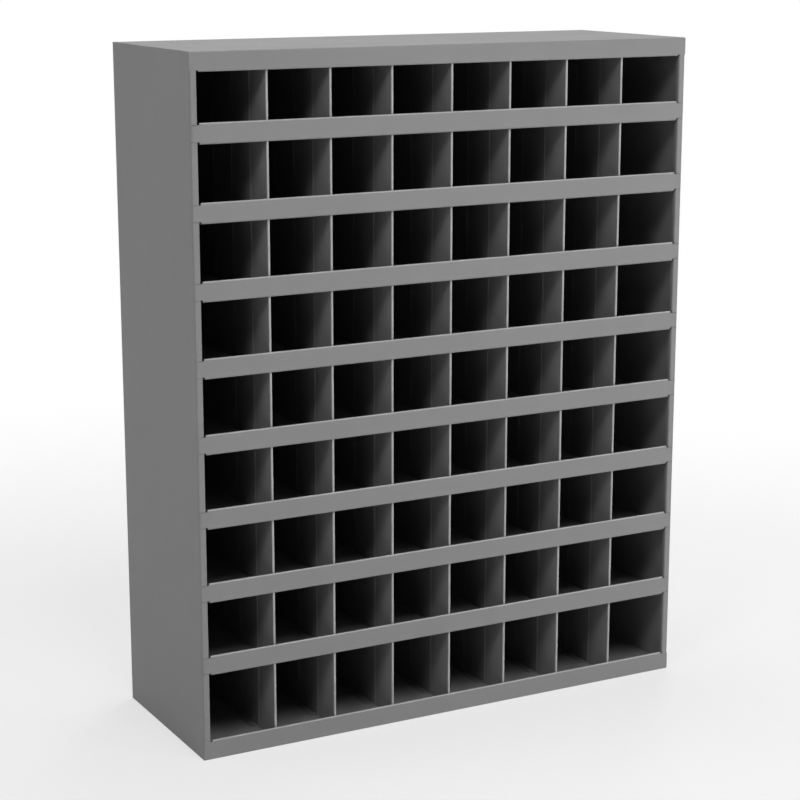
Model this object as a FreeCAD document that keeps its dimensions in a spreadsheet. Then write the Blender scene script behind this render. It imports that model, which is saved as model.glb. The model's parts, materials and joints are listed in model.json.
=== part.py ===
import FreeCAD, Part
import math
import os
import re
import Sketcher

# Steel pigeonhole bin unit: two folded side panels, a top, a bottom shelf, a back,
# eight shelves with hemmed front lips and seven dividers in each of nine rows.
# Millimetres. Origin at the bottom centre, +Z up, front towards -Y, +X to the right.

SIZES = [
    ("width", 857.25, "overall width"),
    ("depth", 304.8, "overall depth"),
    ("height", 1066.8, "overall height"),
    ("shell_sheet", 1.2, "sheet of the sides, top and bottom shelf"),
    ("shelf_sheet", 1.0, "sheet of the eight shelves"),
    ("divider_sheet", 0.9, "sheet of the dividers"),
    ("back_sheet", 0.9, "sheet of the back"),
    ("bend_radius", 2.4, "outer radius of a fold"),
    ("hem_radius", 1.6, "outer radius of the hem on a lip or band"),
    ("hem_leg", 8.0, "straight part of that hem"),
    ("fit_gap", 0.1, "clearance between neighbouring pieces"),
    ("overcut", 1.0, "reach of a cutter past the sheet"),
    ("column_count", 8, "bins across"),
    ("column_pitch", 102.75, "divider to divider"),
    ("shelf_count", 8, "shelves between top and bottom"),
    ("shelf_pitch", 114.3, "shelf to shelf"),
    ("lowest_shelf", 135.0, "underside of the lowest of the eight shelves"),
    ("lip_height", 31.0, "front lip of a shelf, with its hem"),
    ("top_band", 28.8, "front band of the top"),
    ("band_trim", 2.0, "end of the top band above its hemmed edge"),
    ("floor_height", 10.5, "upper face of the bottom shelf"),
    ("flange_width", 11.0, "front flange of a side panel"),
    ("flange_return", 7.5, "leg turned back from the front flange"),
    ("return_mitre", 8.0, "slope cut on that leg below each shelf"),
    ("rear_flange", 15.9, "flange of the sides and the top at the back"),
    ("inner_flange", 12.7, "flange of a side panel under the top and at the floor"),
    ("flange_start", 14.0, "ends of that flange from the front and rear planes"),
    ("tab_rise", 3.5, "bottom of a lip tab above the bottom of the lip"),
    ("tab_drop", 3.0, "top of a lip tab below the top of the lip"),
    ("tab_stop", 2.6, "end of a lip tab from the side of the unit"),
    ("lip_setback", 3.0, "end of the full lip from the edge of the flange"),
    ("shelf_upstand", 12.7, "rear flange of a shelf, turned up"),
    ("divider_setback", 3.8, "front of a divider behind the front plane"),
    ("divider_end", 4.6, "rear edge of a divider from the rear plane"),
    ("nose_width", 3.6, "hem at the front of a divider, over both layers"),
    ("nose_break", 1.05, "break of each edge of that hem"),
    ("nose_leg", 12.0, "length of that hem"),
    ("bead_first", 62.0, "first stiffening bead behind the front plane"),
    ("bead_pitch", 69.0, "bead to bead"),
    ("bead_count", 3, "beads on a divider"),
    ("bead_width", 5.0, "width of a bead"),
    ("bead_height", 1.2, "height of a bead"),
    ("foot_width", 12.7, "foot flange of a divider"),
    ("foot_slope", 6.0, "slope cut on the front of that foot"),
]

# Sketch planes: profiles seen from above, and profiles seen from the right-hand side.
PLAN = FreeCAD.Placement()
PROFILE = FreeCAD.Placement(
    FreeCAD.Vector(0, 0, 0),
    FreeCAD.Rotation(
        FreeCAD.Vector(0, 1, 0), FreeCAD.Vector(0, 0, 1), FreeCAD.Vector(1, 0, 0), "XYZ"
    ),
)

# Positions used by more than one piece.
FRONT = "-depth / 2"
REAR = "depth / 2"
LEFT = "-width / 2"
BACK_FACE = "depth / 2 - shell_sheet - back_sheet"
INNER_HALF = "width / 2 - shell_sheet - fit_gap"
LIP_END = "width / 2 - flange_width - lip_setback"
TOP_EDGE = "height - top_band"
DIVIDER_TAIL = "depth / 2 - divider_end"

doc = FreeCAD.newDocument("PigeonholeUnit")
sizes = doc.addObject("Spreadsheet::Sheet", "Sizes")
for cell, (alias, value, note) in enumerate(SIZES, start=1):
    sizes.set(f"A{cell}", alias)
    sizes.set(f"B{cell}", str(value))
    sizes.set(f"C{cell}", note)
    sizes.setAlias(f"B{cell}", alias)
doc.recompute()


def bound(text):
    """An expression with the sheet's name before every size."""
    return re.sub(r"[a-z_]+", lambda word: "Sizes." + word.group(0), text)


def number(text):
    """Value of an expression."""
    return float(sizes.evalExpression(bound(text)))


def bind(target, prop, text):
    """Tie a property to an expression."""
    target.setExpression(prop, bound(text))


def place(target, x="0", y="0", z="0"):
    """Tie the position of an object to expressions."""
    for axis, text in (("x", x), ("y", y), ("z", z)):
        bind(target, f".Placement.Base.{axis}", text)


def sign(value):
    return (value > 1e-6) - (value < -1e-6)


def unit_step(start, end):
    """Direction between two points, as a sign along each axis."""
    return [sign(number(end[i]) - number(start[i])) for i in (0, 1)]


def moved(point, *shifts):
    """A point moved by lengths along unit steps."""
    result = list(point)
    for step, length in shifts:
        for i in (0, 1):
            if step[i]:
                result[i] = f"{result[i]} + {step[i]} * ({length})"
    return result


def vector(point):
    return FreeCAD.Vector(number(point[0]), number(point[1]), 0)


def bend_points(at, corner, beyond, radius):
    """Steps, ends and centre of a rounded square corner."""
    into = unit_step(at, corner)
    out = [0 if into[i] else unit_step(corner, beyond)[i] for i in (0, 1)]
    enter = moved(corner, (into, f"-({radius})"))
    leave = moved(corner, (out, radius))
    centre = moved(enter, (out, radius))
    return into, out, enter, leave, centre


def hem_points(at, crown, radius):
    """Steps, ends and centre of a half turn whose crown is the point given."""
    step = unit_step(at, crown)
    beside = abs(abs(number(crown[0]) - number(at[0])) - number(radius)) < 1e-6
    into, out = ([0, step[1]], [step[0], 0]) if beside else ([step[0], 0], [0, step[1]])
    centre = moved(crown, (into, f"-({radius})"))
    enter = moved(centre, (out, f"-({radius})"))
    leave = moved(centre, (out, radius))
    return into, out, enter, leave, centre


def add_line(sketch, start, end):
    """Straight run with both ends tied to expressions."""
    line = sketch.addGeometry(Part.LineSegment(vector(start), vector(end)), False)
    for position, point in ((1, start), (2, end)):
        for kind, text in zip(("DistanceX", "DistanceY"), point):
            held = Sketcher.Constraint(kind, -1, 1, line, position, number(text))
            bind(sketch, f"Constraints[{sketch.addConstraint(held)}]", text)
    return line


def add_arc(sketch, line, turn):
    """Bend that leaves a line tangentially; gives the arc and its free end."""
    into, out, enter, leave, centre = turn
    left = into[0] * out[1] - into[1] * out[0] > 0
    rays = [vector(point) - vector(centre) for point in (enter, leave)]
    angles = [math.atan2(ray.y, ray.x) for ray in (rays if left else rays[::-1])]
    circle = Part.Circle(vector(centre), FreeCAD.Vector(0, 0, 1), rays[0].Length)
    arc = sketch.addGeometry(Part.ArcOfCircle(circle, *angles), False)
    first, last = (1, 2) if left else (2, 1)
    sketch.addConstraint(Sketcher.Constraint("Tangent", line, 2, arc, first))
    return arc, last


def fold_line(name, plane, path):
    """Sketch along a path of points, rounded bends and half-turn hems."""
    sketch = doc.addObject("Sketcher::SketchObject", name)
    sketch.Placement = plane
    at = path[0][1:3]
    waiting = None
    for index, (kind, u, v, *radius) in enumerate(path[1:], start=1):
        if kind == "bend":
            turn = bend_points(at, (u, v), path[index + 1][1:3], *radius)
        elif kind == "hem":
            turn = hem_points(at, (u, v), *radius)
        else:
            turn = None
        line = add_line(sketch, at, turn[2] if turn else (u, v))
        if waiting:
            sketch.addConstraint(Sketcher.Constraint("Coincident", *waiting, line, 1))
        waiting = add_arc(sketch, line, turn) if turn else None
        at = turn[3] if turn else (u, v)
    return sketch


def extrude(name, base, length, symmetric=False):
    """Solid drawn out along the normal of a sketch plane."""
    solid = doc.addObject("Part::Extrusion", name)
    solid.Base = base
    solid.DirMode = "Normal"
    solid.Solid = True
    solid.Symmetric = symmetric
    bind(solid, "LengthFwd", length)
    return solid


def folded_sheet(name, plane, path, sheet, length, symmetric=False):
    """Folded sheet that lies to the left of its fold line."""
    skin = doc.addObject("Part::Offset2D", name + "Skin")
    skin.Source = fold_line(name + "Folds", plane, path)
    skin.Mode = "Skin"
    skin.Join = "Intersection"
    skin.Fill = True
    bind(skin, "Value", f"-{sheet}")
    return extrude(name + "Sheet", skin, length, symmetric)


def block(name, low, high):
    """Box between two corners."""
    box = doc.addObject("Part::Box", name)
    for prop, start, end in zip(("Length", "Width", "Height"), low, high):
        bind(box, prop, f"({end}) - ({start})")
    place(box, *low)
    return box


def mirrored(name, source):
    """Copy of an object on the other side of the middle plane."""
    copy = doc.addObject("Part::Mirroring", name)
    copy.Source = source
    copy.Normal = FreeCAD.Vector(1, 0, 0)
    return copy


def group(name, members):
    compound = doc.addObject("Part::Compound", name)
    compound.Links = members
    return compound


def linked(name, source, x="0", z="0"):
    """Copy of an object inside a group, moved into place."""
    copy = doc.addObject("App::Link", name)
    copy.LinkedObject = source
    place(copy, x=x, z=z)
    return copy


def raised(name, source, level):
    """Copy of a master piece that stands at its own level."""
    copy = group(name, [source])
    place(copy, z=level)
    return copy


def fuse(name, members):
    joined = doc.addObject("Part::MultiFuse", name)
    joined.Shapes = members
    return joined


def cut(name, base, tools):
    """Base with disjoint tools taken away."""
    trimmed = doc.addObject("Part::Cut", name)
    trimmed.Base = base
    trimmed.Tool = group(name + "Tools", tools)
    return trimmed


def shelf_height(number_from_top):
    """Underside of a shelf, counted from the top."""
    return f"lowest_shelf + (shelf_count - {number_from_top}) * shelf_pitch"


def make_notch():
    """Room for one lip tab: a slot in the flange and a mitred gap in its return."""
    behind_flange = f"{FRONT} + shell_sheet"
    behind_return = f"{FRONT} + flange_return + overcut"
    slot = block(
        "NotchSlot",
        (f"{LEFT} + tab_stop - fit_gap", f"{FRONT} - overcut", "tab_rise - fit_gap"),
        (f"{LEFT} + flange_width + overcut", behind_return, "lip_height - tab_drop + fit_gap"),
    )
    outline = [
        ("point", behind_flange, "0"),
        ("point", behind_return, "-return_mitre"),
        ("point", behind_return, "lip_height"),
        ("point", behind_flange, "lip_height"),
        ("point", behind_flange, "0"),
    ]
    gap = extrude("NotchGap", fold_line("NotchGapOutline", PROFILE, outline), "bend_radius + overcut")
    place(gap, x=f"{LEFT} + flange_width - bend_radius")
    return fuse("Notch", [slot, gap])


def make_left_side():
    """Side panel: wall, front flange with return, rear flange, inner flanges."""
    path = [
        ("point", f"{LEFT} + rear_flange", REAR),
        ("bend", LEFT, REAR, "bend_radius"),
        ("bend", LEFT, FRONT, "bend_radius"),
        ("bend", f"{LEFT} + flange_width", FRONT, "bend_radius"),
        ("point", f"{LEFT} + flange_width", f"{FRONT} + flange_return"),
    ]
    wall = folded_sheet("Side", PLAN, path, "shell_sheet", "height - shell_sheet")
    notch = make_notch()
    levels = ["0", TOP_EDGE] + [shelf_height(i + 1) for i in range(int(number("shelf_count")))]
    notches = [linked(f"Notch{i}", notch, z=level) for i, level in enumerate(levels)]
    outside = (f"{LEFT} - overcut", f"{FRONT} - overcut")
    band_gap = (f"{LEFT} + flange_width + overcut", f"{FRONT} + shell_sheet + fit_gap")
    fold_gap = (f"{LEFT} + flange_width + overcut", f"{FRONT} + bend_radius")
    above = "height + overcut"
    top_trim = block("SideTopTrim", (*outside, f"{TOP_EDGE} + band_trim - fit_gap"), (*band_gap, above))
    fold_trim = block("SideFoldTrim", (*outside, "height - bend_radius - fit_gap"), (*fold_gap, above))
    bottom_trim = block(
        "SideBottomTrim", (*outside, "-overcut"), (*band_gap, "lip_height - tab_drop + fit_gap")
    )
    notched = cut("SideNotched", wall, notches)
    trimmed = cut("SideTrimmed", notched, [fuse("SideTopTrims", [top_trim, fold_trim]), bottom_trim])
    flanges = []
    for name, base in (("SideFoot", "0"), ("SideHead", "height - 2 * shell_sheet")):
        flanges.append(
            block(
                name,
                (f"{LEFT} + shell_sheet / 2", f"{FRONT} + flange_start", base),
                (f"{LEFT} + inner_flange", f"{REAR} - flange_start", f"{base} + shell_sheet"),
            )
        )
    return fuse("LeftSide", [trimmed] + flanges)


def make_top():
    """Top sheet with a hemmed front band and a rear flange between the side panels."""
    path = [
        ("point", REAR, "height - rear_flange"),
        ("bend", REAR, "height", "bend_radius"),
        ("bend", FRONT, "height", "bend_radius"),
        ("hem", f"{FRONT} + hem_radius", TOP_EDGE, "hem_radius"),
        ("point", f"{FRONT} + 2 * hem_radius", f"{TOP_EDGE} + hem_radius + hem_leg"),
    ]
    sheet = folded_sheet("Top", PROFILE, path, "shell_sheet", "width", symmetric=True)
    outer = "width / 2 + overcut"
    edge_end = block(
        "TopEdgeEnd",
        (LIP_END, f"{FRONT} - overcut", f"{TOP_EDGE} - overcut"),
        (outer, f"{FRONT} + shell_sheet", f"{TOP_EDGE} + band_trim"),
    )
    hem_end = block(
        "TopHemEnd",
        (LIP_END, f"{FRONT} + shell_sheet", f"{TOP_EDGE} - overcut"),
        (outer, f"{FRONT} + 2 * hem_radius + overcut", f"{TOP_EDGE} + hem_radius + hem_leg + overcut"),
    )
    flange_end = block(
        "TopFlangeEnd",
        (
            "width / 2 - rear_flange - fit_gap",
            f"{REAR} - bend_radius - overcut",
            "height - rear_flange - overcut",
        ),
        (outer, f"{REAR} + overcut", "height - shell_sheet"),
    )
    ends = [fuse("TopFrontEnd", [edge_end, hem_end]), flange_end]
    return cut("Top", sheet, ends + [mirrored(end.Name + "Left", end) for end in ends])


def make_bottom():
    """Bottom shelf: deck, front doubled down to the floor and up as a hemmed band."""
    path = [
        ("point", f"{FRONT} + 2 * hem_radius", "lip_height - hem_radius - hem_leg"),
        ("hem", f"{FRONT} + hem_radius", "lip_height", "hem_radius"),
        ("hem", f"{FRONT} + hem_radius", "0", "hem_radius"),
        ("bend", f"{FRONT} + 2 * hem_radius", "floor_height - shell_sheet", "bend_radius - shell_sheet"),
        ("bend", f"{BACK_FACE} - shell_sheet", "floor_height - shell_sheet", "bend_radius - shell_sheet"),
        ("point", f"{BACK_FACE} - shell_sheet", "0"),
    ]
    sheet = folded_sheet("Bottom", PROFILE, path, "shell_sheet", "width", symmetric=True)
    outer = "width / 2 + overcut"
    above = "lip_height + overcut"
    behind_band = f"{FRONT} + shell_sheet"
    edge_end = block(
        "BottomEdgeEnd",
        (LIP_END, f"{FRONT} - overcut", "lip_height - tab_drop"),
        (outer, behind_band, above),
    )
    hem_end = block(
        "BottomHemEnd",
        (LIP_END, behind_band, "-overcut"),
        (outer, f"{FRONT} + flange_return + overcut", above),
    )
    deck_end = block(
        "BottomDeckEnd",
        (INNER_HALF, behind_band, "-overcut"),
        (outer, f"{REAR} + overcut", above),
    )
    end = fuse("BottomEnd", [edge_end, hem_end, deck_end])
    return cut("Bottom", sheet, [end, mirrored("BottomEndLeft", end)])


def make_back():
    """Flat sheet inside the rear flanges."""
    half = "(width / 2 - bend_radius - fit_gap)"
    return block(
        "Back",
        (f"-{half}", BACK_FACE, "0"),
        (half, f"{BACK_FACE} + back_sheet", "height - bend_radius - fit_gap"),
    )


def make_shelf():
    """Shelf on the floor plane: deck, hemmed lip with end tabs, and rear upstand."""
    path = [
        ("point", f"{FRONT} + 2 * hem_radius", "lip_height - hem_radius - hem_leg"),
        ("hem", f"{FRONT} + hem_radius", "lip_height", "hem_radius"),
        ("bend", FRONT, "0", "bend_radius"),
        ("point", BACK_FACE, "0"),
        ("point", BACK_FACE, "shelf_upstand"),
    ]
    sheet = folded_sheet("Shelf", PROFILE, path, "shelf_sheet", f"2 * ({INNER_HALF})", symmetric=True)
    corner = block(
        "ShelfCorner",
        (LIP_END, f"{FRONT} - overcut", "-overcut"),
        ("width / 2 + overcut", f"{FRONT} + flange_return + overcut", "lip_height + overcut"),
    )
    trimmed = cut("ShelfTrimmed", sheet, [corner, mirrored("ShelfCornerLeft", corner)])
    tab = block(
        "ShelfTab",
        (f"{LIP_END} - overcut", FRONT, "tab_rise"),
        ("width / 2 - tab_stop", f"{FRONT} + shelf_sheet", "lip_height - tab_drop"),
    )
    return fuse("Shelf", [trimmed, tab, mirrored("ShelfTabLeft", tab)])


def make_divider(name, tall):
    """Divider on the floor plane: flat sheet with a hemmed front edge and pressed beads."""
    face = "-divider_sheet / 2"
    other_face = f"{face} + divider_sheet"
    hem_face = f"{face} + nose_width"
    hem_inside = f"{hem_face} - divider_sheet"
    nose = f"{FRONT} + divider_setback"
    hem_end = f"{nose} + nose_leg"
    fold_inside = f"{nose} + nose_break + divider_sheet"
    beads = []
    for bead in reversed(range(int(number("bead_count")))):
        crest = f"{FRONT} + bead_first + {bead} * bead_pitch"
        beads += [
            ("point", face, f"{crest} + bead_width / 2"),
            ("point", f"{face} - bead_height", crest),
            ("point", face, f"{crest} - bead_width / 2"),
        ]
    other_side = [("point", f"{u} + divider_sheet", v) for kind, u, v in reversed(beads)]
    outline = [
        ("point", face, DIVIDER_TAIL),
        *beads,
        ("point", face, f"{nose} + nose_break"),
        ("point", f"{face} + nose_break", nose),
        ("point", f"{hem_face} - nose_break", nose),
        ("point", hem_face, f"{nose} + nose_break"),
        ("point", hem_face, hem_end),
        ("point", hem_inside, hem_end),
        ("point", hem_inside, fold_inside),
        ("point", other_face, fold_inside),
        *other_side,
        ("point", other_face, DIVIDER_TAIL),
        ("point", face, DIVIDER_TAIL),
    ]
    return extrude(name, fold_line(name + "Outline", PLAN, outline), tall)


def make_footed_divider(name, tall):
    """Divider with a foot flange turned to the left along the floor."""
    toe = f"{FRONT} + bead_first"
    outline = [
        ("point", "0", toe),
        ("point", "-foot_width", f"{toe} + foot_slope"),
        ("point", "-foot_width", DIVIDER_TAIL),
        ("point", "0", DIVIDER_TAIL),
        ("point", "0", toe),
    ]
    foot = extrude(name + "Foot", fold_line(name + "FootOutline", PLAN, outline), "divider_sheet")
    return fuse(name, [make_divider(name + "Sheet", tall), foot])


def divider_row(name, divider):
    """Seven dividers side by side."""
    columns = int(number("column_count"))
    copies = []
    for column in range(1, columns):
        offset = f"({column} - column_count / 2) * column_pitch"
        copies.append(linked(f"{name}Divider{column}", divider, x=offset))
    return group(name, copies)


left_side = make_left_side()
parts = {
    "left_side_panel": left_side,
    "right_side_panel": mirrored("RightSide", left_side),
    "top_panel": make_top(),
    "bottom_shelf": make_bottom(),
    "back_panel": make_back(),
}

shelf = make_shelf()
middle_room = "shelf_pitch - shelf_sheet - fit_gap"
middle_row = divider_row("MiddleRow", make_divider("MiddleDivider", middle_room))
top_room = f"height - shell_sheet - ({shelf_height(1)}) - shelf_sheet - fit_gap"
top_row = divider_row("TopRow", make_divider("TopDivider", top_room))
bottom_room = "lowest_shelf - floor_height - fit_gap"
bottom_row = divider_row("BottomRow", make_footed_divider("BottomDivider", bottom_room))

shelves = int(number("shelf_count"))
for i in range(1, shelves + 1):
    parts[f"shelf_{i}"] = raised(f"Shelf{i}", shelf, shelf_height(i))
    row = top_row if i == 1 else middle_row
    parts[f"dividers_row_{i}"] = raised(f"DividerRow{i}", row, f"{shelf_height(i)} + shelf_sheet")
parts[f"dividers_row_{shelves + 1}"] = raised("DividerRowBottom", bottom_row, "floor_height")

doc.recompute()

for feature in doc.Objects:
    if "Invalid" in feature.State or "Error" in feature.State:
        raise RuntimeError(f"{feature.Name} did not compute: {feature.State}")

os.makedirs("parts", exist_ok=True)
for label, piece in parts.items():
    piece.Label = label
    shape = piece.Shape
    if shape.isNull() or not shape.isValid() or not shape.Solids:
        raise RuntimeError(f"{label} has no valid solid")
    solids = shape.Solids
    body = solids[0] if len(solids) == 1 else Part.makeCompound(solids)
    body.exportStep(f"parts/{label}.step")
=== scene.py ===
import json
import math

import bpy
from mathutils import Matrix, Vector


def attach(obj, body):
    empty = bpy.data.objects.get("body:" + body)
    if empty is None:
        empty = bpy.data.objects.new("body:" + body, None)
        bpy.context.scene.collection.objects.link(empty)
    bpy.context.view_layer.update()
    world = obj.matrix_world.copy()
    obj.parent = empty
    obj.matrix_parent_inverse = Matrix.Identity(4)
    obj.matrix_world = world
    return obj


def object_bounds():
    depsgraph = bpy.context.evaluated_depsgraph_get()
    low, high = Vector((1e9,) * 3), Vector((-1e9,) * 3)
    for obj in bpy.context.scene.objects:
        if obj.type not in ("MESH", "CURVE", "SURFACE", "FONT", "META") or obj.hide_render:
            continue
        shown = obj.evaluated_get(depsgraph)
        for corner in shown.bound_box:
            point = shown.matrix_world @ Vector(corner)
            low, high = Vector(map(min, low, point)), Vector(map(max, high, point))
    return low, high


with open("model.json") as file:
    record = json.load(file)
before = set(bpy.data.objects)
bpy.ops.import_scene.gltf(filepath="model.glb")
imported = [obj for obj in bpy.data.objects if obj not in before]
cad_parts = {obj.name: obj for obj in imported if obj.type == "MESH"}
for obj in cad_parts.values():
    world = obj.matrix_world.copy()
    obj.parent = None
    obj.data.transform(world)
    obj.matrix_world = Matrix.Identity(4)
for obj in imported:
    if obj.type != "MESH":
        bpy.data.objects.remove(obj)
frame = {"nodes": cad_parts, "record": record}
cad_low, cad_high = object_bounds()

# Steel pigeonhole bin unit in grey enamel. Metres, +Z up, open front towards -Y.

WIDTH = cad_high.x - cad_low.x
HEIGHT = cad_high.z - cad_low.z
FRONT = cad_low.y
REAR = cad_high.y
NODES = frame["nodes"]


def reach(node_name):
    """Lowest and highest corner of one node's box."""
    corners = [vertex.co for vertex in NODES[node_name].data.vertices]
    low = Vector([min(corner[axis] for corner in corners) for axis in range(3)])
    high = Vector([max(corner[axis] for corner in corners) for axis in range(3)])
    return low, high


# Shelves, counted from the top, and the end tabs of their lips.
SHELF_COUNT = 8
shelf_low, shelf_high = reach(f"shelf_{SHELF_COUNT}")
LOWEST_SHELF = shelf_low.z
SHELF_PITCH = reach(f"shelf_{SHELF_COUNT - 1}")[0].z - LOWEST_SHELF
LIP_HEIGHT = shelf_high.z - shelf_low.z
LIP_HEM = 0.0032
LIP_WEAR = 0.0024
TAB_LENGTH = 0.0114
TAB_START = shelf_high.x - TAB_LENGTH
TAB_RISE = 0.0035
TAB_TOP = LIP_HEIGHT - 0.003

# Dividers: their hemmed noses, a little behind the front plane, and the beads on their left faces.
COLUMN_COUNT = 8
COLUMN_PITCH = 0.10275
NOSE_FRONT = reach("dividers_row_1")[0].y
NOSE_BREAK = 0.0011
FIRST_BEAD = FRONT + 0.062
BEAD_PITCH = 0.069
BEAD_CREST = 0.0009
BEAD_PROUD = 0.00165

# Spot welds that hold the shelves' upstands and the side panels' rear flanges to the back panel.
BACK_FACE = reach("back_panel")[1].y
WELD_ABOVE_SHELF = 0.007
WELD_SIZE = 0.0092
WELD_RIM_WIDTH = 0.0024
WELD_RIM_HEIGHT = 0.0010
WELD_LIFT = 0.2
WELD_SIDES = 14
WELD_RIM_SIDES = 6
WELD_PULL = 0.018
REAR_FLANGE = 0.0159

# Grey enamel, as linear colour: the two sides of its mottling, worn edges lightened further as
# painted highlight, and dirty creases.
ENAMEL_SHADE = (0.233, 0.233, 0.233, 1)
ENAMEL_LIGHT = (0.245, 0.245, 0.245, 1)
ENAMEL_RUBBED_HIGHLIGHT = (0.500, 0.500, 0.500, 1)
ENAMEL_CREASE = (0.076, 0.076, 0.076, 1)
ENAMEL_ROUGHNESS = (0.49, 0.54)
ENAMEL_SPECULAR = 0.22

# How strongly folds, front edges and bead crests are worn and lightened as painted highlight, how
# much dirt the tab joints hold, and how much polish rubbing gives.
FOLD_WEAR_HIGHLIGHT = 0.5
EDGE_WEAR_HIGHLIGHT = (0.6, 0.9)
CREST_WEAR_HIGHLIGHT = 0.5
JOINT_DIRT = 0.4
RUBBED_POLISH = 0.1

# Painted shade: the enamel darkens towards the back of the bins, where shade falls. Its colour
# there, the depths between which it darkens, and how far its border wanders.
ENAMEL_BIN_SHADE = (0.125, 0.125, 0.125, 1)
BIN_SHADE_START = 0.025
BIN_SHADE_END = 0.115
BIN_SHADE_WANDER = 0.008

# Relief in the enamel: heights of orange peel, dents and the paint lumps on tab joints, depths at
# spot welds, and the radius that the coat gives to folds.
PEEL_HEIGHT = 0.00003
DENT_HEIGHT = 0.00015
LUMP_HEIGHT = (0.0001, 0.0006)
DIMPLE_DEPTH = 0.0003
PULL_DEPTH = 0.0008
FOLD_RADIUS = 0.0011

# Pale floor: its grey, the share of white that it shows near the object, and the distances
# between which it runs out into the white surroundings, which give a faint even light.
FLOOR_SIZE = 60
FLOOR_GREY = (0.86, 0.86, 0.86, 1)
FLOOR_ROUGHNESS = 0.9
FLOOR_GRAIN = 0.0004
FLOOR_WHITE_SHARE = 0.62
FLOOR_FADE = (0.6, 2.4)
WHITE = (1, 1, 1, 1)
WORLD_STRENGTH = 0.01

# Camera of the photograph: place in metres, angles in degrees, focal length over image width.
EYE = (-1.5524, -2.8669, 1.2279)
YAW = -28.3
PITCH = -12.8
FOCAL_OVER_WIDTH = 2050 / 800


def add_node(tree, kind, inputs=None, **settings):
    """Node with its settings and its inputs, each a plain value or the output of another node."""
    node = tree.nodes.new(kind)
    for name, value in settings.items():
        setattr(node, name, value)
    for key, value in (inputs or {}).items():
        if isinstance(value, bpy.types.NodeSocket):
            tree.links.new(value, node.inputs[key])
        else:
            node.inputs[key].default_value = value
    return node


def calculate(tree, operation, *values):
    """Result of a maths node."""
    inputs = dict(enumerate(values))
    return add_node(tree, "ShaderNodeMath", inputs, operation=operation).outputs[0]


def product(tree, *factors):
    """Values multiplied together."""
    result = factors[0]
    for factor in factors[1:]:
        result = calculate(tree, "MULTIPLY", result, factor)
    return result


def remap(tree, value, from_low, from_high, to_low=0.0, to_high=1.0, smooth=False):
    """Value carried from one range to another and held within it."""
    inputs = {"Value": value, "From Min": from_low, "From Max": from_high,
              "To Min": to_low, "To Max": to_high}
    kind = "SMOOTHSTEP" if smooth else "LINEAR"
    node = add_node(tree, "ShaderNodeMapRange", inputs, interpolation_type=kind)
    return node.outputs["Result"]


def mask_from(tree, value, limit, border):
    """None up to a limit, then rising to one over a border."""
    return remap(tree, value, limit, limit + border)


def mask_up_to(tree, value, limit, border):
    """One up to a limit, then falling to none over a border."""
    return remap(tree, value, limit + border, limit)


def off_value(tree, value, centre):
    """Distance of a value from a fixed one."""
    return calculate(tree, "ABSOLUTE", calculate(tree, "SUBTRACT", value, centre))


def noise(tree, place, scale, detail):
    """Even noise about one half."""
    inputs = {"Vector": place, "Scale": scale, "Detail": detail, "Roughness": 0.55}
    return add_node(tree, "ShaderNodeTexNoise", inputs).outputs["Fac"]


def blend(tree, share, under, over):
    """Colour of one coat with a share of another over it."""
    inputs = {"Factor": share, "A": under, "B": over}
    return add_node(tree, "ShaderNodeMix", inputs, data_type="RGBA").outputs["Result"]


def new_material(name):
    """Material that holds only its shader and its output."""
    material = bpy.data.materials.new(name)
    material.use_nodes = True
    return material, material.node_tree, material.node_tree.nodes["Principled BSDF"]


def tab_joint(tree, spot, rise, above):
    """Distance from the top and bottom edge of a lip's end tab, and the mask of the flanges
    that carry them."""
    off_bottom = off_value(tree, rise, TAB_RISE)
    off_top = off_value(tree, rise, TAB_TOP)
    off_edge = calculate(tree, "MINIMUM", off_bottom, off_top)
    across = calculate(tree, "ABSOLUTE", spot["X"])
    on_flange = mask_from(tree, across, TAB_START, 0.001)
    on_front = mask_up_to(tree, spot["Y"], FRONT + 0.0004, 0.0006)
    from_lowest = mask_from(tree, above, -0.004, 0.004)
    to_highest = mask_up_to(tree, above, SHELF_COUNT * SHELF_PITCH - 0.006, 0.002)
    return off_edge, product(tree, on_flange, on_front, from_lowest, to_highest)


def lip_edge(tree, spot, rise):
    """Mask of the rounded top edge of a front lip, which hands and stock rub, and which is
    lightened further as painted highlight.
    """
    near_top = mask_from(tree, rise, LIP_HEIGHT - LIP_WEAR, 0.0014)
    on_lip = mask_up_to(tree, spot["Y"], FRONT + LIP_HEM, 0.0006)
    not_above = mask_up_to(tree, rise, LIP_HEIGHT + 0.0006, 0.0006)
    across = calculate(tree, "ABSOLUTE", spot["X"])
    between_flanges = mask_up_to(tree, across, TAB_START, 0.001)
    return product(tree, near_top, on_lip, not_above, between_flanges)


def nose_edge(tree, spot):
    """Mask of the dividers' rounded fronts and, less strong, of their beads' crests, which
    stock rubs on its way in, and which are lightened further as painted highlight."""
    nose = mask_up_to(tree, spot["Y"], NOSE_FRONT + NOSE_BREAK, 0.0008)
    beyond = calculate(tree, "SUBTRACT", spot["Y"], FIRST_BEAD)
    off_crest = calculate(tree, "PINGPONG", beyond, BEAD_PITCH / 2)
    crest = remap(tree, off_crest, BEAD_CREST, BEAD_CREST * 0.4, 0, CREST_WEAR_HIGHLIGHT)
    behind_nose = mask_from(tree, beyond, -BEAD_PITCH / 4, BEAD_PITCH / 4)
    from_column = calculate(tree, "ADD", spot["X"], COLUMN_PITCH / 2)
    beside = calculate(tree, "FLOORED_MODULO", from_column, COLUMN_PITCH)
    off_proud = off_value(tree, beside, COLUMN_PITCH / 2 - BEAD_PROUD)
    on_left_face = mask_up_to(tree, off_proud, 0.0003, 0.0003)
    return calculate(tree, "MAXIMUM", nose, product(tree, crest, behind_nose, on_left_face))


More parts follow.
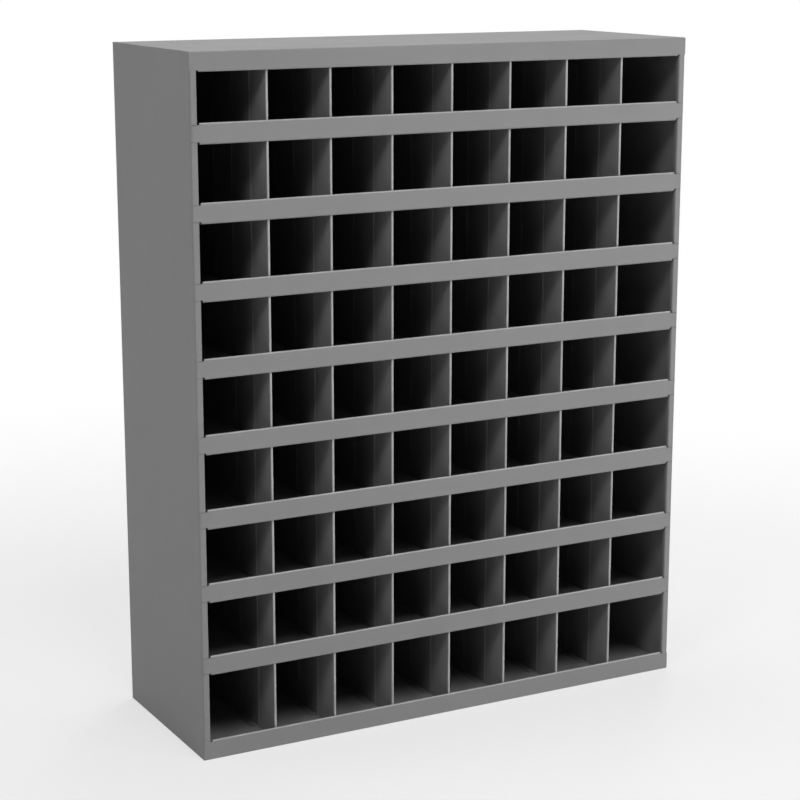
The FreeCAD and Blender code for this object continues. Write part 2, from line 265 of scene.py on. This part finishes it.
def painted_bin_shade(tree, place, spot):
    """Mask of the painted shade in the depths of the bins, which darkens the enamel from front to
    back.
    """
    grain = noise(tree, place, scale=14, detail=3)
    wander = remap(tree, grain, 0.3, 0.7, -BIN_SHADE_WANDER, BIN_SHADE_WANDER)
    depth = calculate(tree, "ADD", spot["Y"], wander)
    bin_shade = remap(tree, depth, FRONT + BIN_SHADE_START, FRONT + BIN_SHADE_END, smooth=True)
    across = calculate(tree, "ABSOLUTE", spot["X"])
    between_sides = mask_up_to(tree, across, WIDTH / 2 - 0.0008, 0.0004)
    under_top = mask_up_to(tree, spot["Z"], HEIGHT - 0.0008, 0.0004)
    before_back = mask_up_to(tree, spot["Y"], BACK_FACE - 0.0006, 0.0003)
    return product(tree, bin_shade, between_sides, under_top, before_back)


def radius_from(tree, across, along):
    """Distance from the middle of a weld, from its two distances along the sheet."""
    squares = calculate(tree, "ADD", product(tree, across, across), product(tree, along, along))
    return calculate(tree, "SQRT", squares)


def flange_dimple(tree, spot):
    """Depth, from none to full, of the spot welds along the side panels' rear flanges."""
    from_middle = calculate(tree, "ABSOLUTE", spot["X"])
    across = off_value(tree, from_middle, WIDTH / 2 - REAR_FLANGE / 2)
    along = calculate(tree, "PINGPONG", spot["Z"], SHELF_PITCH / 2)
    radius = radius_from(tree, across, along)
    dish = remap(tree, radius, WELD_SIZE * 0.24, WELD_SIZE * 0.42, 1, 0, smooth=True)
    on_flange = mask_from(tree, spot["Y"], REAR - 0.0008, 0.0005)
    return product(tree, dish, on_flange)


def panel_pull(tree, spot):
    """Depth, from none to full, to which the welds draw in the back panel around them."""
    beside = calculate(tree, "PINGPONG", spot["X"], COLUMN_PITCH / 2)
    across = calculate(tree, "SUBTRACT", COLUMN_PITCH / 2, beside)
    height = calculate(tree, "SUBTRACT", spot["Z"], LOWEST_SHELF + WELD_ABOVE_SHELF)
    along = calculate(tree, "PINGPONG", height, SHELF_PITCH / 2)
    radius = radius_from(tree, across, along)
    hollow = remap(tree, radius, WELD_SIZE * 0.4, WELD_PULL, 1, 0, smooth=True)
    outside = mask_from(tree, spot["Y"], BACK_FACE - 0.0004, 0.0002)
    within = mask_up_to(tree, spot["Y"], REAR - 0.0005, 0.0002)
    return product(tree, hollow, outside, within)


def grey_enamel(name, worn_highlit_front, bin_shading, tabs=False, rear_welds=False):
    """Satin stoved enamel on sheet steel: orange peel, faint mottling, worn edges lightened further
    as painted highlight, painted shade deep in the bins, and painted-over welds.

    The second argument names the front edges that are worn and lightened further as painted
    highlight: "shelf lips", "floor lip" or "divider noses".
    The third argument is the share of the painted shade deep in the bins that is applied:
    less on decks than on dividers.
    """
    material, tree, shader = new_material(name)
    place = add_node(tree, "ShaderNodeTexCoord").outputs["Object"]
    spot = add_node(tree, "ShaderNodeSeparateXYZ", {"Vector": place}).outputs
    above = calculate(tree, "SUBTRACT", spot["Z"], LOWEST_SHELF)
    rise = calculate(tree, "FLOORED_MODULO", above, SHELF_PITCH)

    mottling = remap(tree, noise(tree, place, scale=4.5, detail=4), 0.32, 0.68)
    speckle = remap(tree, noise(tree, place, scale=260, detail=2), 0.2, 0.8, -0.18, 0.18)
    tone = calculate(tree, "ADD", mottling, speckle)
    colour = blend(tree, tone, ENAMEL_SHADE, ENAMEL_LIGHT)

    # The coat is thinner over a fold, so that edges are softer and a little lighter; the lighter
    # colour is also painted highlight.
    flat = add_node(tree, "ShaderNodeNewGeometry").outputs["Normal"]
    soft = add_node(tree, "ShaderNodeBevel", {"Radius": FOLD_RADIUS}, samples=6).outputs["Normal"]
    likeness = add_node(tree, "ShaderNodeVectorMath", {0: flat, 1: soft}, operation="DOT_PRODUCT")
    fold = remap(tree, likeness.outputs["Value"], 0.99, 0.86)
    patches = remap(tree, noise(tree, place, scale=55, detail=3), 0.42, 0.66)
    worn_fold_highlight = product(tree, fold, patches, FOLD_WEAR_HIGHLIGHT)
    if worn_highlit_front == "shelf lips":
        front = lip_edge(tree, spot, rise)
    elif worn_highlit_front == "floor lip":
        front = lip_edge(tree, spot, spot["Z"])
    else:
        front = nose_edge(tree, spot)
    # Front edges, worn by hands and stock, are lightened further as painted highlight, as are the
    # folds.
    edge_wear_highlight = remap(tree, noise(tree, place, scale=30, detail=3), 0.35, 0.6, *EDGE_WEAR_HIGHLIGHT)
    worn_and_highlit = calculate(tree, "MAXIMUM", worn_fold_highlight, product(tree, front, edge_wear_highlight))
    colour = blend(tree, worn_and_highlit, colour, ENAMEL_RUBBED_HIGHLIGHT)
    # Painted shade: the enamel is darkened towards the back of the bins.
    bin_shade = product(tree, painted_bin_shade(tree, place, spot), bin_shading)
    colour = blend(tree, bin_shade, colour, ENAMEL_BIN_SHADE)

    peel = product(tree, noise(tree, place, scale=620, detail=2), PEEL_HEIGHT)
    dents = product(tree, noise(tree, place, scale=9, detail=1), DENT_HEIGHT)
    height = calculate(tree, "ADD", peel, dents)
    if rear_welds:
        dimple = product(tree, flange_dimple(tree, spot), -DIMPLE_DEPTH)
        pull = product(tree, panel_pull(tree, spot), -PULL_DEPTH)
        height = calculate(tree, "ADD", height, calculate(tree, "ADD", dimple, pull))
    if tabs:
        off_edge, on_tabs = tab_joint(tree, spot, rise, above)
        grain = noise(tree, place, scale=340, detail=2)
        lumps = remap(tree, grain, 0.3, 0.7, *LUMP_HEIGHT)
        near_joint = remap(tree, off_edge, 0.0003, 0.0020, 1, 0, smooth=True)
        in_joint = remap(tree, off_edge, 0.0002, 0.0009, 1, 0, smooth=True)
        height = calculate(tree, "ADD", height, product(tree, near_joint, on_tabs, lumps))
        dirt = product(tree, in_joint, on_tabs, JOINT_DIRT)
        colour = blend(tree, dirt, colour, ENAMEL_CREASE)
    relief = add_node(tree, "ShaderNodeBump", {"Height": height, "Normal": soft,
                                               "Strength": 1.0, "Distance": 1.0})
    dull = remap(tree, noise(tree, place, scale=22, detail=3), 0.3, 0.7, *ENAMEL_ROUGHNESS)
    roughness = calculate(tree, "SUBTRACT", dull, product(tree, worn_and_highlit, RUBBED_POLISH))

    tree.links.new(colour, shader.inputs["Base Color"])
    tree.links.new(roughness, shader.inputs["Roughness"])
    tree.links.new(relief.outputs["Normal"], shader.inputs["Normal"])
    shader.inputs["Specular IOR Level"].default_value = ENAMEL_SPECULAR
    return material


def spot_weld_tree():
    """Geometry nodes: rows of low rings, pressed up round spot welds, on an upright plane
    that faces +Y."""
    tree = bpy.data.node_groups.new("spot_weld_rows", "GeometryNodeTree")
    sockets = tree.interface
    sockets.new_socket("Geometry", in_out="INPUT", socket_type="NodeSocketGeometry")
    for label, kind in (("Columns", "Int"), ("Rows", "Int"), ("Column Pitch", "Float"),
                        ("Row Pitch", "Float"), ("Lowest Row", "Float"), ("Plane", "Float"),
                        ("Mark Size", "Float"), ("Rim Width", "Float"), ("Rim Height", "Float"),
                        ("Finish", "Material")):
        sockets.new_socket(label, in_out="INPUT", socket_type=f"NodeSocket{kind}")
    sockets.new_socket("Geometry", in_out="OUTPUT", socket_type="NodeSocketGeometry")
    given = tree.nodes.new("NodeGroupInput").outputs
    result = tree.nodes.new("NodeGroupOutput")
    upright = (math.radians(-90), 0, 0)

    # Grid of weld places, turned upright.
    column_gaps = calculate(tree, "SUBTRACT", given["Columns"], 1)
    row_gaps = calculate(tree, "SUBTRACT", given["Rows"], 1)
    width = product(tree, column_gaps, given["Column Pitch"])
    height = product(tree, row_gaps, given["Row Pitch"])
    grid = add_node(tree, "GeometryNodeMeshGrid", {
        "Size X": width, "Size Y": height,
        "Vertices X": given["Columns"], "Vertices Y": given["Rows"]})
    lift = calculate(tree, "ADD", given["Lowest Row"], product(tree, height, 0.5))
    middle = add_node(tree, "ShaderNodeCombineXYZ", {"Y": given["Plane"], "Z": lift})
    places = add_node(tree, "GeometryNodeTransform", {
        "Geometry": grid.outputs["Mesh"], "Translation": middle.outputs["Vector"],
        "Rotation": upright})

    # One mark: a round section carried round a circle, pressed flat and partly sunk in the sheet.
    rim = product(tree, given["Rim Width"], 0.5)
    radius = calculate(tree, "SUBTRACT", product(tree, given["Mark Size"], 0.5), rim)
    path = add_node(tree, "GeometryNodeCurvePrimitiveCircle", {
        "Resolution": WELD_SIDES, "Radius": radius})
    section = add_node(tree, "GeometryNodeCurvePrimitiveCircle", {
        "Resolution": WELD_RIM_SIDES, "Radius": rim})
    ring = add_node(tree, "GeometryNodeCurveToMesh", {
        "Curve": path.outputs["Curve"], "Profile Curve": section.outputs["Curve"]})
    flatness = calculate(tree, "DIVIDE", given["Rim Height"], given["Rim Width"])
    pressed = add_node(tree, "ShaderNodeCombineXYZ", {"X": 1.0, "Y": 1.0, "Z": flatness})
    lifted = product(tree, given["Rim Height"], WELD_LIFT)
    proud = add_node(tree, "ShaderNodeCombineXYZ", {"Z": lifted})
    mark = add_node(tree, "GeometryNodeTransform", {
        "Geometry": ring.outputs["Mesh"], "Translation": proud.outputs["Vector"],
        "Scale": pressed.outputs["Vector"]})

    placed = add_node(tree, "GeometryNodeInstanceOnPoints", {
        "Points": places.outputs["Geometry"], "Instance": mark.outputs["Geometry"],
        "Rotation": upright})
    real = add_node(tree, "GeometryNodeRealizeInstances", {"Geometry": placed.outputs["Instances"]})
    painted = add_node(tree, "GeometryNodeSetMaterial", {
        "Geometry": real.outputs["Geometry"], "Material": given["Finish"]})
    tree.links.new(painted.outputs["Geometry"], result.inputs["Geometry"])
    return tree


def grown(name, tree, **values):
    """Plain mesh object made by a geometry tree from its named inputs."""
    seed = bpy.data.objects.new(name + "_seed", bpy.data.meshes.new(name + "_seed"))
    bpy.context.scene.collection.objects.link(seed)
    modifier = seed.modifiers.new("grow", "NODES")
    modifier.node_group = tree
    for socket in tree.interface.items_tree:
        key = socket.name.lower().replace(" ", "_")
        if key in values:
            modifier[socket.identifier] = values[key]
    evaluated = seed.evaluated_get(bpy.context.evaluated_depsgraph_get())
    mesh = bpy.data.meshes.new_from_object(evaluated)
    bpy.data.objects.remove(seed)
    mesh.name = name
    mesh.materials.clear()
    mesh.materials.append(values["finish"])
    mesh.polygons.foreach_set("material_index", [0] * len(mesh.polygons))
    piece = bpy.data.objects.new(name, mesh)
    bpy.context.scene.collection.objects.link(piece)
    return piece


def spot_weld_marks(enamel):
    """Painted-over marks where the shelves' upstands are welded to the back panel."""
    marks = grown("spot_weld_marks", spot_weld_tree(), columns=COLUMN_COUNT, rows=SHELF_COUNT,
                  column_pitch=COLUMN_PITCH, row_pitch=SHELF_PITCH,
                  lowest_row=LOWEST_SHELF + WELD_ABOVE_SHELF, plane=BACK_FACE,
                  mark_size=WELD_SIZE, rim_width=WELD_RIM_WIDTH, rim_height=WELD_RIM_HEIGHT,
                  finish=enamel)
    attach(marks, "root")


def dress(slot_name, material):
    """Give every solid that uses a slot of the record its finish."""
    for part in frame["record"]["subparts"]:
        if part["material_slot"] == slot_name:
            NODES[part["node"]].material_slots[0].material = material


def seen_as_background(tree):
    """One for rays that show the background: straight from the camera, or over gloss or glass."""
    rays = add_node(tree, "ShaderNodeLightPath").outputs
    shown = calculate(tree, "MAXIMUM", rays["Is Camera Ray"], rays["Is Glossy Ray"])
    return calculate(tree, "MAXIMUM", shown, rays["Is Transmission Ray"])


def pale_floor():
    """Pale floor that keeps the object's shadow and runs out into the white background."""
    bpy.ops.mesh.primitive_plane_add(size=FLOOR_SIZE)
    floor = bpy.context.object
    floor.name = "pale_floor"
    material, tree, shader = new_material("pale_floor")
    shader.inputs["Base Color"].default_value = FLOOR_GREY
    shader.inputs["Roughness"].default_value = FLOOR_ROUGHNESS
    place = add_node(tree, "ShaderNodeTexCoord").outputs["Object"]
    grain = remap(tree, noise(tree, place, scale=40, detail=3), 0.3, 0.7, 0, FLOOR_GRAIN)
    relief = add_node(tree, "ShaderNodeBump", {"Height": grain, "Distance": 1.0})
    tree.links.new(relief.outputs["Normal"], shader.inputs["Normal"])
    distance = add_node(tree, "ShaderNodeVectorMath", {0: place}, operation="LENGTH")
    fade = remap(tree, distance.outputs["Value"], *FLOOR_FADE, FLOOR_WHITE_SHARE, 1.0, smooth=True)
    share = product(tree, fade, seen_as_background(tree))
    white = add_node(tree, "ShaderNodeEmission", {"Color": WHITE, "Strength": 1.0})
    surface = add_node(tree, "ShaderNodeMixShader", {
        "Fac": share, 1: shader.outputs["BSDF"], 2: white.outputs["Emission"]})
    output = tree.nodes["Material Output"]
    tree.links.new(surface.outputs["Shader"], output.inputs["Surface"])
    floor.data.materials.append(material)


def studio_world():
    """Faint even light all round, shown as white."""
    world = bpy.data.worlds.new("studio")
    bpy.context.scene.world = world
    world.use_nodes = True
    tree = world.node_tree
    background = tree.nodes["Background"]
    background.inputs["Color"].default_value = WHITE
    level = remap(tree, seen_as_background(tree), 0, 1, WORLD_STRENGTH, 1.0)
    tree.links.new(level, background.inputs["Strength"])


def softbox(name, place, target, size, power):
    """Square soft light aimed at a point, its power in watts."""
    lamp = bpy.data.lights.new(name, "AREA")
    lamp.shape = "SQUARE"
    lamp.size = size
    lamp.energy = power
    holder = bpy.data.objects.new(name, lamp)
    bpy.context.scene.collection.objects.link(holder)
    holder.location = place
    holder.rotation_mode = "QUATERNION"
    holder.rotation_quaternion = (Vector(target) - Vector(place)).to_track_quat("-Z", "Y")
    holder.visible_camera = False


def photo_camera():
    """Camera at the photograph's viewing angle."""
    lens = bpy.data.cameras.new("photo_camera")
    lens.sensor_width = 36
    lens.lens = FOCAL_OVER_WIDTH * lens.sensor_width
    camera = bpy.data.objects.new("photo_camera", lens)
    bpy.context.scene.collection.objects.link(camera)
    camera.location = EYE
    camera.rotation_euler = (math.radians(90 + PITCH), 0, math.radians(YAW))
    bpy.context.scene.camera = camera


# The share given to each enamel after its edges sets how strongly painted shade darkens the depths
# of the bins.
shell_enamel = grey_enamel("grey_enamel_shell", "floor lip", bin_shading=0.5,
                           tabs=True, rear_welds=True)
dress("shell_enamel", shell_enamel)
shelf_enamel = grey_enamel("grey_enamel_shelves", "shelf lips", bin_shading=0.5, tabs=True)
dress("shelf_enamel", shelf_enamel)
divider_enamel = grey_enamel("grey_enamel_dividers", "divider noses", bin_shading=1.0)
dress("divider_enamel", divider_enamel)
spot_weld_marks(shell_enamel)

pale_floor()
studio_world()
middle = (0, 0, HEIGHT / 2)
top = (0, 0, HEIGHT)
softbox("key_light", (2.2, -3.05, 0.9), middle, size=1.6, power=60)
softbox("high_light", (-0.2, -4.2, 6.3), middle, size=2.7, power=146)
softbox("left_light", (-3.0, -2.1, 3.1), middle, size=1.1, power=39)
softbox("rear_light", (-3.4, 1.6, 1.9), middle, size=1.8, power=18)
softbox("top_light", (0.3, 0.4, 3.9), top, size=1.2, power=42)
softbox("back_light", (2.6, 2.6, 0.5), middle, size=0.9, power=62)
photo_camera()
bpy.context.scene.view_settings.view_transform = "Standard"
